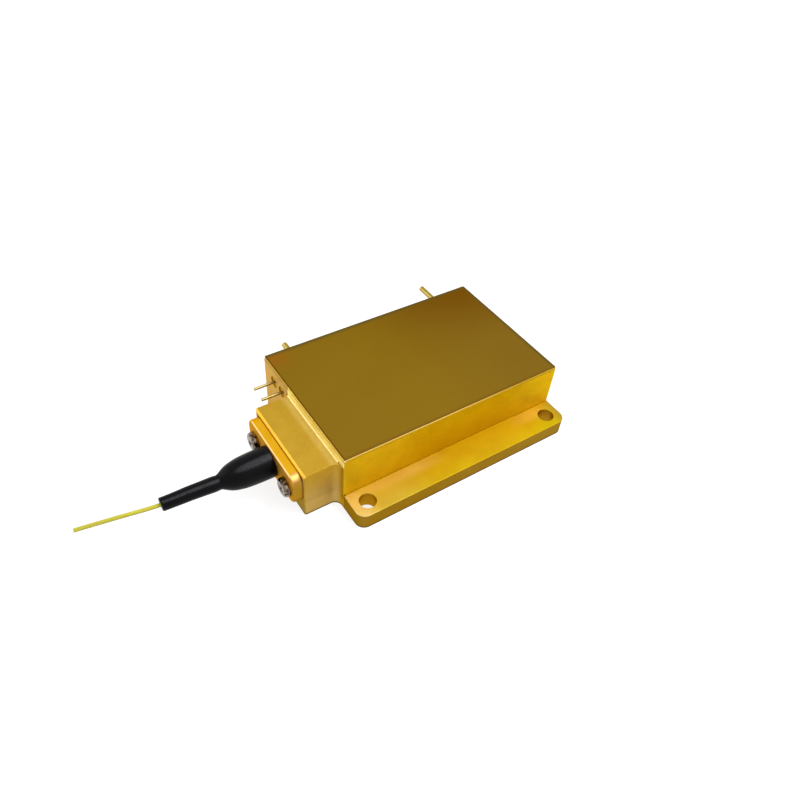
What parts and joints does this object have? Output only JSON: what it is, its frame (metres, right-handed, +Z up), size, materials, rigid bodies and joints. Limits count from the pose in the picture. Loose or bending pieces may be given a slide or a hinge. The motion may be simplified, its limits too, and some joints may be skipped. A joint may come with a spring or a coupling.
{
  "type": "laser diode module",
  "caption": "Flat gold-plated laser diode housing with side flanges, a nose with a sleeved fibre output, and pins for power and sensing.",
  "frame": {"origin": "on the underside, below the middle of the body without its nose", "axes": "+Z up from the mounting face, -X out along the fibre, +Y the side of the power pins"},
  "size_m": [0.1219, 0.0595, 0.0171],
  "materials": {
    "housing": "gold plate, satin",
    "lid": "gold plate, satin",
    "plate": "gold plate, polished",
    "solder": "matt",
    "gasket": "matt",
    "screws": "polished",
    "holder": "turned",
    "boot": "satin",
    "tube": "satin",
    "pins": "gold plate, polished",
    "seals": "polished",
    "optics": "polished",
    "submounts": "satin",
    "chips": "polished",
    "mirrors": "polished"
  },
  "bodies": {
    "root": {"housing": "housing", "lid": "lid", "fibre_plate": "plate", "lid_seal": "solder", "plate_gasket": "gasket", "plate_screws": "screws", "ferrule_holder": "holder", "lens_cell": "holder", "strain_relief_boot": "boot", "fibre_tube": "tube", "power_pin_positive": "pins", "power_pin_negative": "pins", "signal_pin_1": "pins", "signal_pin_2": "pins", "bond_ribbons": "pins", "lead_strap_positive": "pins", "lead_strap_negative": "pins", "thermistor_leads": "pins", "power_seal_positive": "seals", "power_seal_negative": "seals", "signal_seal_1": "seals", "signal_seal_2": "seals", "fibre_capillary": "optics", "optical_fibre": "optics", "focusing_lens": "optics", "feedback_filter": "optics", "fast_axis_lens_1": "optics", "fast_axis_lens_2": "optics", "fast_axis_lens_3": "optics", "fast_axis_lens_4": "optics", "fast_axis_lens_5": "optics", "fast_axis_lens_6": "optics", "slow_axis_lens_1": "optics", "slow_axis_lens_2": "optics", "slow_axis_lens_3": "optics", "slow_axis_lens_4": "optics", "slow_axis_lens_5": "optics", "slow_axis_lens_6": "optics", "submount_1": "submounts", "submount_2": "submounts", "submount_3": "submounts", "submount_4": "submounts", "submount_5": "submounts", "submount_6": "submounts", "thermistor_pad": "submounts", "laser_chip_1": "chips", "laser_chip_2": "chips", "laser_chip_3": "chips", "laser_chip_4": "chips", "laser_chip_5": "chips", "laser_chip_6": "chips", "thermistor": "chips", "turning_mirror_1": "mirrors", "turning_mirror_2": "mirrors", "turning_mirror_3": "mirrors", "turning_mirror_4": "mirrors", "turning_mirror_5": "mirrors", "turning_mirror_6": "mirrors"}
  },
  "joints": []
}
